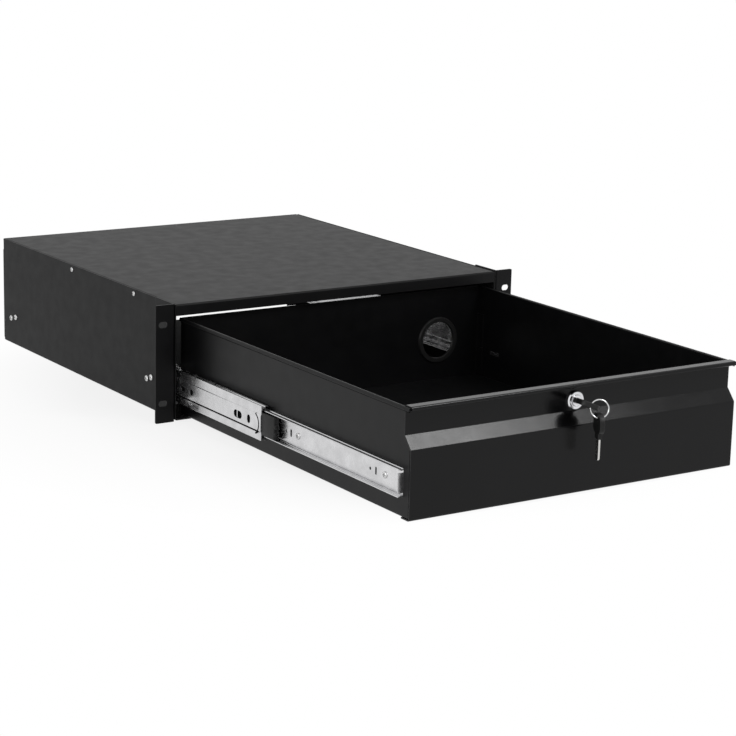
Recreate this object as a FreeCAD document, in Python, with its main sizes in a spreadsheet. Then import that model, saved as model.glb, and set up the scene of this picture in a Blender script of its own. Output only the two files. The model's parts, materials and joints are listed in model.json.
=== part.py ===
import FreeCAD, Part
import math
import os
import Sketcher

# Sliding rack drawer, three rack units high, drawn fully open.
# Millimetres. X to the right, Y to the back, Z up.
# Origin: the middle of the rack bolt pattern, on the rear faces of the rack ears.

Vector = FreeCAD.Vector
SIDES = (("left", -1), ("right", 1))


# ---------------------------------------------------------------------------
# Driving dimensions
# ---------------------------------------------------------------------------

DIMENSIONS = (
    # rack ears
    ("ear_flange", 24.0, "width of an ear past the housing's side"),
    ("ear_height", 133.0, ""),
    ("ear_sheet", 2.0, "sheet of the ears; the housing's front is flush with their front faces"),
    ("ear_leg", 42.0, "leg along the housing's side, from the front face"),
    ("ear_bend", 1.0, "inner radius of the ear's bend"),
    ("ear_corner", 1.5, "corner radius of the ear's flange"),
    ("bolt_inset", 8.75, "middle of a bolt slot from the ear's outer edge"),
    ("bolt_pitch", 88.9, "from the lower to the upper slot"),
    ("bolt_slot_length", 10.5, ""),
    ("bolt_slot_width", 7.0, ""),
    # housing
    ("housing_width", 434.6, ""),
    ("housing_height", 131.0, ""),
    ("housing_depth", 457.0, ""),
    ("chassis_sheet", 1.2, ""),
    ("cover_sheet", 1.2, ""),
    ("sheet_bend", 1.0, "inner radius of the housing's bends"),
    ("cover_flange", 12.8, "height of the cover's four flanges"),
    ("rear_flange", 14.2, "width of the chassis's rear flanges"),
    ("bend_relief", 3.0, "notch where two bends would meet"),
    ("corner_gap", 0.6, "from the ends of the cover's front and rear flanges to the sides"),
    ("cover_screw_first", 98.3, "from the housing's front"),
    ("cover_screw_pitch", 159.2, ""),
    ("cover_screw_drop", 5.5, "below the housing's top"),
    ("cover_screw_head", 5.5, "diameter"),
    ("cover_screw_rise", 1.5, "height of the head"),
    # ball-bearing slides
    ("slide_drop", 27.2, "slide's centre line below the origin"),
    ("slide_setback", 8.0, "front end of the outer member"),
    ("outer_length", 440.0, ""),
    ("middle_length", 405.0, ""),
    ("inner_length", 430.0, ""),
    ("travel", 441.0, "the drawer's travel"),
    ("slide_sheet", 1.2, ""),
    ("ball_radius", 2.0, ""),
    ("ball_clearance", 0.05, "between a ball and its raceway"),
    ("outer_ball_height", 19.3, "outer ball line above the slide's centre"),
    ("ball_line_step", 3.6, "from the outer to the inner ball line, across the slide"),
    ("raceway_turn", 138.7, "where the outer raceway leaves its flange, in degrees"),
    ("raceway_lip", 35.0, "where the outer raceway ends, in degrees"),
    ("fold_turn", 25.0, "where the middle member's web meets its raceway, in degrees"),
    ("middle_lip", 55.0, "where the middle member's inner raceway ends, in degrees"),
    ("inner_turn", 41.6, "where the inner raceway meets its flats, in degrees"),
    ("inner_flat", 0.52, "flat between the inner raceway and the web"),
    ("inner_lip", 3.4, "from the inner ball line to the edge of the inner member"),
    ("middle_band", 8.5, "half height of the middle member's raised band"),
    ("middle_step", 0.8, "rise of that band toward the outer member"),
    ("cage_sheet", 0.4, ""),
    ("cage_gap", 0.3, "between a cage and the member beside it"),
    ("inner_cage_gap", 0.4, ""),
    ("cage_window", 0.1, "between a ball and the edge of its window"),
    ("cage_arm", 2.8, "arm of the outer cage past the ball line"),
    ("inner_cage_arm", 2.5, "arm of the inner cage past the ball line"),
    ("outer_cage_setback", 6.0, "from the outer member's front end"),
    ("outer_cage_length", 200.0, ""),
    ("inner_cage_setback", 17.5, "from the middle member's front end"),
    ("inner_cage_length", 160.0, ""),
    ("ball_margin", 12.0, "first ball from the end of its cage"),
    ("end_tab_height", 20.0, "bent tab at the front of the inner member"),
    ("end_tab_reach", 6.0, ""),
    ("bumper_gap", 0.5, "between a closed member and its bumper"),
    ("rear_bumper_length", 4.0, ""),
    ("rear_bumper_height", 40.0, ""),
    ("rear_bumper_depth", 9.3, ""),
    ("front_bumper_length", 26.5, "in front of the middle member"),
    ("front_bumper_height", 24.0, ""),
    ("front_bumper_depth", 4.3, ""),
    ("front_bumper_cover", 3.1, "from the bumper to the drawer's wall"),
    ("front_bumper_edge", 1.0, "edge radius"),
    ("bumper_tongue_length", 12.0, ""),
    ("bumper_tongue_height", 15.0, ""),
    ("fixing_head", 7.0, "diameter of the slide screws' heads"),
    ("fixing_rise", 2.0, "height of the heads outside the housing"),
    ("fixing_low_rise", 1.5, "height of the heads inside the slide"),
    # drawer
    ("drawer_proud", 0.0, "drawer's front past the ears' front when closed"),
    ("front_sheet", 1.5, ""),
    ("tray_sheet", 1.2, ""),
    ("lip_top", 49.0, "height of the drawer front's upper edge"),
    ("lip_height", 4.5, ""),
    ("lip_return", 5.0, "depth of the lip's underside"),
    ("recess_depth", 11.0, "finger recess behind the front's face"),
    ("recess_floor", 19.2, "where the recess meets its slope"),
    ("slope_height", 12.8, "height of that slope"),
    ("front_bottom", -63.8, ""),
    ("front_return", 14.0, "depth of the front's flange under the tray"),
    ("front_bend", 0.8, "inner radius of the front's bends"),
    ("tray_top", 47.7, ""),
    ("tray_bend", 0.8, ""),
    ("hem_gap", 0.6, "between the wall and its folded hem"),
    ("hem_height", 3.2, ""),
    ("back_face", 10.5, "rear face of the drawer's back, drawer open"),
    ("back_tab_depth", 12.0, ""),
    ("back_tab_bottom", -60.0, ""),
    ("back_tab_split", -26.5, "middle of the cut between the two tabs"),
    ("back_tab_top", 13.8, ""),
    ("back_tab_cut", 1.0, ""),
    ("tray_slot_front", -35.0, "slide's catch window in the tray's wall"),
    ("tray_slot_length", 19.0, ""),
    ("tray_slot_height", 4.5, ""),
    ("tray_slot_drop", 2.3, "below the slide's centre line"),
    ("grommet_x", 143.0, ""),
    ("grommet_z", -13.2, ""),
    ("grommet_hole", 50.0, "diameter of the hole in the back"),
    ("grommet_flange", 55.5, ""),
    ("grommet_bore", 44.0, ""),
    ("grommet_lip", 2.0, "thickness of the grommet's flange"),
    ("grommet_bevel", 1.0, ""),
    # lock and keys
    ("lock_height", 29.6, ""),
    ("bezel_diameter", 20.0, ""),
    ("bezel_rise", 3.0, ""),
    ("bezel_bevel", 1.2, ""),
    ("lock_diameter", 16.0, ""),
    ("lock_length", 20.0, "behind the recess's face"),
    ("nut_flats", 22.0, ""),
    ("nut_thickness", 3.0, ""),
    ("plug_diameter", 11.4, ""),
    ("plug_clearance", 0.1, "radial"),
    ("plug_proud", 1.0, "past the bezel"),
    ("cam_sheet", 2.0, ""),
    ("cam_reach", 32.0, "from the lock's axis to the cam's tip"),
    ("cam_width", 12.0, ""),
    ("cam_tip_width", 8.4, ""),
    ("cam_tip_corner", 3.0, ""),
    ("cam_heel_corner", 3.6, ""),
    ("cam_square", 7.0, ""),
    ("cam_screw_head", 8.0, ""),
    ("cam_screw_rise", 2.4, ""),
    ("strike_gap", 0.6, "between the strike and the locked cam"),
    ("strike_sheet", 1.5, ""),
    ("strike_width", 30.0, ""),
    ("strike_bottom", 53.0, ""),
    ("strike_leg", 14.0, ""),
    ("key_turn", 23.3, "the key's turn at rest, in degrees"),
    ("key_width", 8.5, "of the blade"),
    ("key_thickness", 2.0, ""),
    ("key_clearance", 0.1, "each side of the blade in its keyway"),
    ("key_blade_reach", 21.5, "blade past the bow's neck"),
    ("key_blade_root", 8.0, "blade inside the bow"),
    ("key_bevel", 1.9, "of the blade's tip"),
    ("bow_width", 22.6, ""),
    ("bow_length", 19.8, ""),
    ("bow_thickness", 5.2, ""),
    ("bow_corner", 7.5, ""),
    ("neck_length", 5.5, ""),
    ("neck_width", 11.0, ""),
    ("neck_thickness", 4.2, ""),
    ("neck_gap", 0.6, "from the plug to the neck"),
    ("key_hole", 5.0, "diameter of the hole in the bow"),
    ("key_hole_inset", 4.3, "from the end of the bow to the hole's centre"),
    ("ring_radius", 9.05, "middle of the ring's wire"),
    ("ring_wire", 1.4, ""),
    ("ring_width", 2.6, "over both coils"),
    ("spare_twist", 12.0, "spare key's turn on the ring, in degrees"),
)


class Size:
    """A length or an angle: its formula over the sheets' cells, and its value."""

    def __init__(self, formula, value):
        self.formula = formula
        self.value = float(value)

    def join(self, sign, other, value):
        return Size("(%s %s %s)" % (self.formula, sign, other.formula), value)

    def __add__(self, other):
        other = as_size(other)
        return self.join("+", other, self.value + other.value)

    def __sub__(self, other):
        other = as_size(other)
        return self.join("-", other, self.value - other.value)

    def __mul__(self, other):
        other = as_size(other)
        return self.join("*", other, self.value * other.value)

    def __truediv__(self, other):
        other = as_size(other)
        return self.join("/", other, self.value / other.value)

    def __neg__(self):
        return Size("(0 - %s)" % self.formula, -self.value)

    def __rsub__(self, other):
        return as_size(other) - self

    def __radd__(self, other):
        return as_size(other) + self

    def __rmul__(self, other):
        return as_size(other) * self

    def __float__(self):
        return self.value


def as_size(number):
    """A plain number as a Size."""
    if isinstance(number, Size):
        return number
    return Size("(%.6f)" % number, number)


def sine(angle):
    return Size("sin(%s)" % angle.formula, math.sin(math.radians(angle.value)))


def cosine(angle):
    return Size("cos(%s)" % angle.formula, math.cos(math.radians(angle.value)))


def root(size):
    return Size("sqrt(%s)" % size.formula, math.sqrt(size.value))


document = FreeCAD.newDocument("sliding_rack_drawer")
sizes_sheet = document.addObject("Spreadsheet::Sheet", "sizes")
results_sheet = document.addObject("Spreadsheet::Sheet", "results")


def fill_sizes():
    """Put the driving dimensions into the sheet and return them by name."""
    found = {}
    for row, (name, value, note) in enumerate(DIMENSIONS, 1):
        sizes_sheet.set("A%d" % row, name)
        sizes_sheet.set("B%d" % row, str(value))
        sizes_sheet.set("C%d" % row, note)
        sizes_sheet.setAlias("B%d" % row, name)
        found[name] = Size("sizes.%s" % name, value)
    document.recompute()
    return found


size = fill_sizes()


def result(name, value):
    """Keep a size that follows from others in the second sheet, under a name."""
    result.row += 1
    results_sheet.set("A%d" % result.row, name)
    results_sheet.set("B%d" % result.row, "=" + value.formula)
    results_sheet.setAlias("B%d" % result.row, name)
    return Size("results.%s" % name, value.value)


result.row = 0

# housing: faces that several pieces share
front_plane = result("front_plane", -size["ear_sheet"])
rear_plane = result("rear_plane", front_plane + size["housing_depth"])
half_width = result("half_width", size["housing_width"] / 2)
half_height = result("half_height", size["housing_height"] / 2)
side_face = result("side_face", half_width - size["chassis_sheet"])
housing_floor = result("housing_floor", size["chassis_sheet"] - half_height)
cover_underside = result("cover_underside", half_height - size["cover_sheet"])
flange_edge = result("flange_edge", half_height - size["cover_flange"])

# slide: places across its thickness, from the housing's side toward the drawer
half_sheet = result("half_sheet", size["slide_sheet"] / 2)
raceway = result("raceway", size["ball_radius"] + size["ball_clearance"] + half_sheet)
outer_cage_at = result("outer_cage_at", size["slide_sheet"] + size["cage_gap"])
band_at = result("band_at", outer_cage_at + size["cage_sheet"] + size["cage_gap"] + half_sheet)
middle_web_at = result("middle_web_at", band_at + size["middle_step"])
outer_ball_at = result("outer_ball_at", middle_web_at + raceway * cosine(size["fold_turn"]))
inner_ball_at = result("inner_ball_at", outer_ball_at + size["ball_line_step"])
ball_line_fall = result(
    "ball_line_fall",
    root(raceway * raceway * 4 - size["ball_line_step"] * size["ball_line_step"]),
)
inner_ball_height = result("inner_ball_height", size["outer_ball_height"] - ball_line_fall)
inner_web_at = result(
    "inner_web_at", inner_ball_at + raceway * cosine(size["inner_turn"]) + size["inner_flat"]
)
slide_thickness = result("slide_thickness", inner_web_at + half_sheet)
inner_cage_at = result("inner_cage_at", middle_web_at + half_sheet + size["inner_cage_gap"])

# slide: places along it, drawer open
slide_z = result("slide_z", -size["slide_drop"])
outer_rear = result("outer_rear", size["slide_setback"] + size["outer_length"])
bumper_face = result("bumper_face", outer_rear - size["rear_bumper_length"])
middle_rear = result("middle_rear", bumper_face - size["bumper_gap"] - size["travel"] / 2)
middle_front = result("middle_front", middle_rear - size["middle_length"])
inner_front = result("inner_front", size["slide_setback"] - size["travel"])

# drawer
drawer_half = result("drawer_half", side_face - slide_thickness)
tray_inside = result("tray_inside", drawer_half - size["tray_sheet"])
front_face = result("front_face", front_plane - size["drawer_proud"] - size["travel"])
front_back_face = result("front_back_face", front_face + size["front_sheet"])
recess_face = result("recess_face", front_face + size["recess_depth"])
recess_back_face = result("recess_back_face", recess_face + size["front_sheet"])
slope_foot = result("slope_foot", size["recess_floor"] - size["slope_height"])
slope_angle = Size(
    "atan(%s / %s)" % (size["recess_depth"].formula, size["slope_height"].formula),
    math.degrees(math.atan(size["recess_depth"].value / size["slope_height"].value)),
)
half_slope = slope_angle / 2
slope_shift = result("slope_shift", size["front_sheet"] * sine(half_slope) / cosine(half_slope))
tray_underside = result("tray_underside", size["front_bottom"] + size["front_sheet"])
tray_floor = result("tray_floor", tray_underside + size["tray_sheet"])
back_inner_face = result("back_inner_face", size["back_face"] - size["tray_sheet"])

# lock
plug_face = result("plug_face", recess_face - size["bezel_rise"] - size["plug_proud"])
lock_rear = result("lock_rear", recess_face + size["lock_length"])
cam_rear = result("cam_rear", lock_rear + size["cam_sheet"])
neck_face = result("neck_face", plug_face - size["neck_gap"])
blade_tip = result("blade_tip", neck_face + size["key_blade_reach"])
bow_face = result("bow_face", neck_face - size["neck_length"])
bow_end = result("bow_end", bow_face - size["bow_length"])
key_hole_at = result("key_hole_at", bow_end + size["key_hole_inset"])
strike_rear = result("strike_rear", lock_rear + size["travel"] - size["strike_gap"])
document.recompute()


# ---------------------------------------------------------------------------
# Modelling helpers
# ---------------------------------------------------------------------------

nodes = []


def new_body(name):
    body = document.addObject("PartDesign::Body", name)
    body.Label = name
    nodes.append(body)
    return body


def new_solid(name, shape):
    """A node whose shape is made with Part's functions."""
    feature = document.addObject("Part::Feature", name)
    feature.Label = name
    feature.Shape = shape
    feature.Placement = shape.Placement
    nodes.append(feature)
    return feature


def bind(thing, path, value):
    thing.setExpression(path, as_size(value).formula)


def sketch_on(body, name, role, at=0.0):
    """A sketch on an origin plane of its body, moved to the height at along the plane's axis."""
    sketch = body.newObject("Sketcher::SketchObject", name)
    plane = [item for item in body.Origin.OriginFeatures if item.Role == role][0]
    sketch.AttachmentSupport = [(plane, "")]
    sketch.MapMode = "FlatFace"
    height = as_size(at)
    if role == "XZ_Plane":
        height = -height
    bind(sketch, "AttachmentOffset.Base.z", height)
    return sketch


def pin(sketch, geometry, point, x, y):
    """Hold a point of the sketch at x and y."""
    for kind, place in (("DistanceX", as_size(x)), ("DistanceY", as_size(y))):
        number = sketch.addConstraint(
            Sketcher.Constraint(kind, -1, 1, geometry, point, place.value)
        )
        bind(sketch, "Constraints[%d]" % number, place)


def draw_polygon(sketch, corners):
    first = sketch.GeometryCount
    count = len(corners)
    places = [Vector(float(x), float(y), 0) for x, y in corners]
    for number in range(count):
        sketch.addGeometry(Part.LineSegment(places[number], places[(number + 1) % count]))
    for number in range(count):
        following = first + (number + 1) % count
        sketch.addConstraint(Sketcher.Constraint("Coincident", first + number, 2, following, 1))
    for number, (x, y) in enumerate(corners):
        pin(sketch, first + number, 1, x, y)


def draw_rectangle(sketch, x_from, x_to, y_from, y_to):
    draw_polygon(sketch, [(x_from, y_from), (x_to, y_from), (x_to, y_to), (x_from, y_to)])


def draw_circle(sketch, x, y, diameter):
    radius = as_size(diameter) / 2
    number = sketch.addGeometry(
        Part.Circle(Vector(float(x), float(y), 0), Vector(0, 0, 1), radius.value)
    )
    pin(sketch, number, 3, x, y)
    limit = sketch.addConstraint(Sketcher.Constraint("Radius", number, radius.value))
    bind(sketch, "Constraints[%d]" % limit, radius)


def draw_oval(sketch, x, y, length, width):
    """A slot with round ends, its length along the sketch's x axis."""
    radius = as_size(width) / 2
    reach = (as_size(length) - width) / 2
    left = as_size(x) - reach
    right = as_size(x) + reach
    low = as_size(y) - radius
    high = as_size(y) + radius
    bottom = sketch.addGeometry(
        Part.LineSegment(Vector(float(left), float(low), 0), Vector(float(right), float(low), 0))
    )
    top = sketch.addGeometry(
        Part.LineSegment(Vector(float(right), float(high), 0), Vector(float(left), float(high), 0))
    )
    right_circle = Part.Circle(Vector(float(right), float(y), 0), Vector(0, 0, 1), radius.value)
    left_circle = Part.Circle(Vector(float(left), float(y), 0), Vector(0, 0, 1), radius.value)
    quarter = math.pi / 2
    right_end = sketch.addGeometry(Part.ArcOfCircle(right_circle, -quarter, quarter))
    left_end = sketch.addGeometry(Part.ArcOfCircle(left_circle, quarter, 3 * quarter))
    sketch.addConstraint(Sketcher.Constraint("Tangent", bottom, 2, right_end, 1))
    sketch.addConstraint(Sketcher.Constraint("Tangent", right_end, 2, top, 1))
    sketch.addConstraint(Sketcher.Constraint("Tangent", top, 2, left_end, 1))
    sketch.addConstraint(Sketcher.Constraint("Tangent", left_end, 2, bottom, 1))
    pin(sketch, right_end, 3, right, y)
    pin(sketch, left_end, 3, left, y)
    limit = sketch.addConstraint(Sketcher.Constraint("Radius", right_end, radius.value))
    bind(sketch, "Constraints[%d]" % limit, radius)


def pad(body, sketch, length, forward=True):
    """Pad a sketch along the world axis of its plane, or against it."""
    feature = body.newObject("PartDesign::Pad", sketch.Label + "_pad")
    feature.Profile = sketch
    bind(feature, "Length", length)
    on_xz = "XZ" in sketch.AttachmentSupport[0][0].Role
    feature.Reversed = forward == on_xz
    document.recompute()
    return feature


def pad_both_ways(body, sketch, length):
    """Pad a sketch by half the length to each side of its plane."""
    feature = body.newObject("PartDesign::Pad", sketch.Label + "_pad")
    feature.Profile = sketch
    bind(feature, "Length", length)
    feature.Midplane = True
    document.recompute()
    return feature


def cut(body, sketch, length=None, forward=True):
    """Cut a sketch through everything, or by a length along the world axis or against it."""
    feature = body.newObject("PartDesign::Pocket", sketch.Label + "_cut")
    feature.Profile = sketch
    if length is None:
        feature.Type = "ThroughAll"
        feature.Midplane = True
    else:
        bind(feature, "Length", length)
        on_xz = "XZ" in sketch.AttachmentSupport[0][0].Role
        feature.Reversed = forward != on_xz
    before = body.Shape.Volume
    document.recompute()
    if not feature.Shape.Volume < before - 1e-3:
        raise RuntimeError("%s removes nothing" % feature.Label)
    return feature


def edges_at(shape, **places):
    """Names of the straight edges that lie at the given x, y and z."""
    names = []
    for number, edge in enumerate(shape.Edges, 1):
        ends = [vertex.Point for vertex in edge.Vertexes]
        if len(ends) != 2 or not isinstance(edge.Curve, Part.Line):
            continue
        if all(abs(getattr(end, axis) - float(place)) < 1e-3
               for end in ends for axis, place in places.items()):
            names.append("Edge%d" % number)
    return names


def round_edges(body, name, radius, *spots):
    """Fillet the edges found at each of the given places."""
    base = body.Tip
    names = []
    for places in spots:
        found = edges_at(base.Shape, **places)
        if not found:
            raise RuntimeError("%s finds no edge at %s" % (name, places))
        names += found
    feature = body.newObject("PartDesign::Fillet", name)
    feature.Base = (base, names)
    bind(feature, "Radius", radius)
    document.recompute()
    return feature


def turned(body, name, corners, x, z):
    """A solid of revolution about an axis along Y through x and z; corners are (radius, y)."""
    sketch = sketch_on(body, name, "YZ_Plane", x)
    draw_polygon(sketch, [(along, as_size(z) + radius) for radius, along in corners])
    axis = sketch.addGeometry(Part.LineSegment(Vector(0, float(z), 0), Vector(10, float(z), 0)), True)
    pin(sketch, axis, 1, 0, z)
    pin(sketch, axis, 2, 10, z)
    feature = body.newObject("PartDesign::Revolution", name + "_turned")
    feature.Profile = sketch
    feature.ReferenceAxis = (sketch, ["Axis0"])
    feature.Angle = 360
    document.recompute()
    return feature


def block(x_from, x_to, y_from, y_to, z_from, z_to):
    """A plain box between two corners, in either order."""
    xs = sorted((float(x_from), float(x_to)))
    ys = sorted((float(y_from), float(y_to)))
    zs = sorted((float(z_from), float(z_to)))
    return Part.makeBox(
        xs[1] - xs[0], ys[1] - ys[0], zs[1] - zs[0], Vector(xs[0], ys[0], zs[0])
    )


SCREW_SIDES = 12


def screw_head(place, direction, diameter, rise):
    """A screw's head, standing on a sheet's face at place; its rim has a few flat sides."""
    up = Vector(0, 0, float(diameter) / 2)
    across = direction.cross(up)
    corners = []
    for number in range(SCREW_SIDES):
        turn = 2 * math.pi * number / SCREW_SIDES
        corners.append(place + up * math.cos(turn) + across * math.sin(turn))
    rim = Part.makePolygon(corners + corners[:1])
    return Part.Face(rim).extrude(direction * float(rise))


def group(name, solids):
    """A node that holds several identical pieces."""
    return new_solid(name, Part.makeCompound(solids))


# ---------------------------------------------------------------------------
# Housing
# ---------------------------------------------------------------------------

def cover_screw_rows():
    first = front_plane + size["cover_screw_first"]
    return [first, first + size["cover_screw_pitch"]]


# screws through the housing's side into the slide: distance along Y and drop below its centre
SLIDE_SCREWS = (
    ("slide_screw_front_a", 54.0, "slide_screw_drop_a", 1.0),
    ("slide_screw_front_b", 64.4, "slide_screw_drop_b", 4.3),
    ("slide_screw_rear_a", 417.3, "slide_screw_drop_c", 2.2),
    ("slide_screw_rear_b", 430.4, "slide_screw_drop_d", 5.4),
)


def add_slide_screw_sizes():
    row = len(DIMENSIONS)
    places = []
    for along_name, along, drop_name, drop in SLIDE_SCREWS:
        for name, value in ((along_name, along), (drop_name, drop)):
            row += 1
            sizes_sheet.set("A%d" % row, name)
            sizes_sheet.set("B%d" % row, str(value))
            sizes_sheet.setAlias("B%d" % row, name)
            size[name] = Size("sizes.%s" % name, value)
        places.append((size[along_name], slide_z - size[drop_name]))
    document.recompute()
    return places


slide_screw_places = add_slide_screw_sizes()
cover_screw_z = half_height - size["cover_screw_drop"]


def make_chassis():
    """Floor and sides folded from one sheet, with narrow flanges at the open rear."""
    body = new_body("chassis")
    section = sketch_on(body, "chassis_section", "XZ_Plane", front_plane)
    draw_polygon(section, [
        (-half_width, half_height), (-half_width, -half_height),
        (half_width, -half_height), (half_width, half_height),
        (side_face, half_height), (side_face, housing_floor),
        (-side_face, housing_floor), (-side_face, half_height),
    ])
    pad(body, section, size["housing_depth"])
    flange_inner = half_width - size["rear_flange"]
    for name, side in SIDES:
        flange = sketch_on(body, name + "_rear_flange", "XZ_Plane", rear_plane)
        draw_rectangle(flange, side * half_width, side * flange_inner,
                       -half_height, flange_edge - size["bend_relief"] / 2)
        pad(body, flange, size["chassis_sheet"], forward=False)
        relief = sketch_on(body, name + "_rear_relief", "XZ_Plane", rear_plane)
        draw_rectangle(relief, side * (half_width + 1), side * (flange_inner - 1),
                       -half_height - 1, housing_floor + size["bend_relief"])
        cut(body, relief, size["bend_relief"], forward=False)
        notch = sketch_on(body, name + "_cover_relief", "XZ_Plane", rear_plane)
        draw_rectangle(notch, side * (half_width + 1), side * (side_face - 1),
                       flange_edge - size["bend_relief"] / 2, half_height + 1)
        cut(body, notch, size["bend_relief"], forward=False)
    outer_bend = size["sheet_bend"] + size["chassis_sheet"]
    inner_rear = rear_plane - size["chassis_sheet"]
    round_edges(body, "chassis_outer_bends", outer_bend,
                {"x": half_width, "z": -half_height}, {"x": -half_width, "z": -half_height},
                {"x": half_width, "y": rear_plane}, {"x": -half_width, "y": rear_plane})
    round_edges(body, "chassis_inner_bends", size["sheet_bend"],
                {"x": side_face, "z": housing_floor}, {"x": -side_face, "z": housing_floor},
                {"x": side_face, "y": inner_rear}, {"x": -side_face, "y": inner_rear})


def make_cover():
    """Lid with a flange turned down along each of its four edges."""
    body = new_body("top_cover")
    blank = sketch_on(body, "cover_blank", "XY_Plane", flange_edge)
    draw_rectangle(blank, -side_face, side_face, front_plane, rear_plane)
    pad(body, blank, size["cover_flange"])
    hollow = sketch_on(body, "cover_hollow", "XY_Plane", flange_edge)
    sheet = size["cover_sheet"]
    draw_rectangle(hollow, sheet - side_face, side_face - sheet,
                   front_plane + sheet, rear_plane - sheet)
    cut(body, hollow, size["cover_flange"] - sheet)
    relief = size["bend_relief"]
    bend = size["sheet_bend"] + sheet
    below_bend = size["cover_flange"] - bend - sheet / 2
    side_ends = sketch_on(body, "side_flange_ends", "XY_Plane", flange_edge)
    cross_ends = sketch_on(body, "cross_flange_ends", "XY_Plane", flange_edge)
    for side in (-1, 1):
        for edge, inward in ((front_plane, 1), (rear_plane, -1)):
            inner = edge + inward * relief
            draw_rectangle(side_ends, side * (side_face - relief), side * (side_face + 1),
                           inner, edge + inward * sheet)
            draw_rectangle(cross_ends, side * (side_face - size["corner_gap"]),
                           side * (side_face + 1), inner, edge - inward)
    cut(body, side_ends, below_bend)
    cut(body, cross_ends, below_bend)
    round_edges(body, "cover_outer_bends", bend,
                {"x": side_face, "z": half_height}, {"x": -side_face, "z": half_height},
                {"y": front_plane, "z": half_height}, {"y": rear_plane, "z": half_height})


def make_ear(name, side):
    """Rack ear: a flange with two oval slots and a leg along the housing's side."""
    body = new_body(name + "_ear")
    outer = half_width + size["ear_flange"]
    section = sketch_on(body, name + "_ear_section", "XY_Plane", 0)
    draw_polygon(section, [
        (side * outer, front_plane), (side * half_width, front_plane),
        (side * half_width, front_plane + size["ear_leg"]),
        (side * (half_width + size["ear_sheet"]), front_plane + size["ear_leg"]),
        (side * (half_width + size["ear_sheet"]), 0), (side * outer, 0),
    ])
    pad_both_ways(body, section, size["ear_height"])
    round_edges(body, name + "_ear_outer_bend", size["ear_bend"] + size["ear_sheet"],
                {"x": side * half_width, "y": front_plane})
    round_edges(body, name + "_ear_inner_bend", size["ear_bend"],
                {"x": side * (half_width + size["ear_sheet"]), "y": 0})
    ear_top = size["ear_height"] / 2
    round_edges(body, name + "_ear_corners", size["ear_corner"],
                {"x": side * outer, "z": ear_top}, {"x": side * outer, "z": -ear_top})
    slots = sketch_on(body, name + "_bolt_slots", "XZ_Plane", 0)
    for height in (size["bolt_pitch"] / 2, -size["bolt_pitch"] / 2):
        draw_oval(slots, side * (outer - size["bolt_inset"]), height,
                  size["bolt_slot_length"], size["bolt_slot_width"])
    cut(body, slots)


def make_strike():
    """Bracket welded under the cover, with a tab in front of the locked cam."""
    body = new_body("lock_strike")
    section = sketch_on(body, "strike_section", "YZ_Plane", 0)
    sheet = size["strike_sheet"]
    tab_front = strike_rear - sheet
    leg_end = tab_front + size["strike_leg"]
    draw_polygon(section, [
        (tab_front, size["strike_bottom"]), (strike_rear, size["strike_bottom"]),
        (strike_rear, cover_underside - sheet), (leg_end, cover_underside - sheet),
        (leg_end, cover_underside), (tab_front, cover_underside),
    ])
    pad_both_ways(body, section, size["strike_width"])
    round_edges(body, "strike_bend", sheet, {"y": tab_front, "z": cover_underside})


def make_housing_fasteners():
    """Heads of the screws in the housing's sides; the cover's and the slides' screws."""
    cover_screws = []
    slide_screws = []
    for name, side in SIDES:
        out = Vector(side, 0, 0)
        for along in cover_screw_rows():
            place = Vector(side * float(half_width), float(along), float(cover_screw_z))
            cover_screws.append(screw_head(place, out, size["cover_screw_head"],
                                           size["cover_screw_rise"]))
        for along, height in slide_screw_places:
            place = Vector(side * float(half_width), float(along), float(height))
            slide_screws.append(screw_head(place, out, size["fixing_head"], size["fixing_rise"]))
    group("cover_screws", cover_screws)
    group("slide_fixing_screws", slide_screws)


# ---------------------------------------------------------------------------
# Ball-bearing slides
#
# A profile is drawn as the middle line of its sheet in the plane across the slide:
# (distance from the housing's side, height above the slide's centre).
# ---------------------------------------------------------------------------

def arc_edge(centre, radius, start, end):
    """An arc of a profile between two angles in degrees, either way round."""
    points = []
    for angle in (start, (start + end) / 2, end):
        turn = math.radians(angle)
        points.append(Vector(centre[0] + radius * math.cos(turn), 0,
                             centre[1] + radius * math.sin(turn)))
    return points


def profile_edges(upper):
    """Edges of a profile, from its upper half given from the free edge to the web."""
    lower = []
    for item in reversed(upper):
        lower.append([Vector(place.x, 0, -place.z) for place in reversed(item)])
    edges = []
    last = None
    for item in upper + lower:
        if last is not None and last.distanceToPoint(item[0]) > 1e-6:
            edges.append(Part.LineSegment(last, item[0]).toShape())
        if len(item) == 3:
            edges.append(Part.Arc(item[0], item[1], item[2]).toShape())
        elif len(item) == 2:
            edges.append(Part.LineSegment(item[0], item[1]).toShape())
        last = item[-1]
    return edges


def rolled_member(side, upper, sheet, start, length):
    """A member rolled from sheet: its profile given the sheet's thickness and its length."""
    outline = Part.Wire(profile_edges(upper)).makeOffset2D(float(sheet) / 2, 0, False, False, False)
    solid = Part.Face(outline).extrude(Vector(0, float(length), 0))
    return to_slide(solid, side, start)


def to_slide(solid, side, start=0.0):
    """Move a shape from slide coordinates to its side of the housing."""
    moved = solid.copy()
    if side > 0:
        moved = solid.mirror(Vector(0, 0, 0), Vector(1, 0, 0))
    moved.translate(Vector(side * float(side_face), float(start), float(slide_z)))
    return moved


def spot(across, height):
    return [Vector(float(across), 0, float(height))]


def outer_profile():
    ball = (float(outer_ball_at), float(size["outer_ball_height"]))
    radius = float(raceway)
    turn = float(size["raceway_turn"])
    flange = ball[1] + radius * math.sin(math.radians(turn))
    web = float(half_sheet)
    bend = float(size["slide_sheet"])
    return [
        arc_edge(ball, radius, float(size["raceway_lip"]), turn),
        arc_edge((web + bend, flange - bend), bend, 90, 180),
    ]


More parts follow.
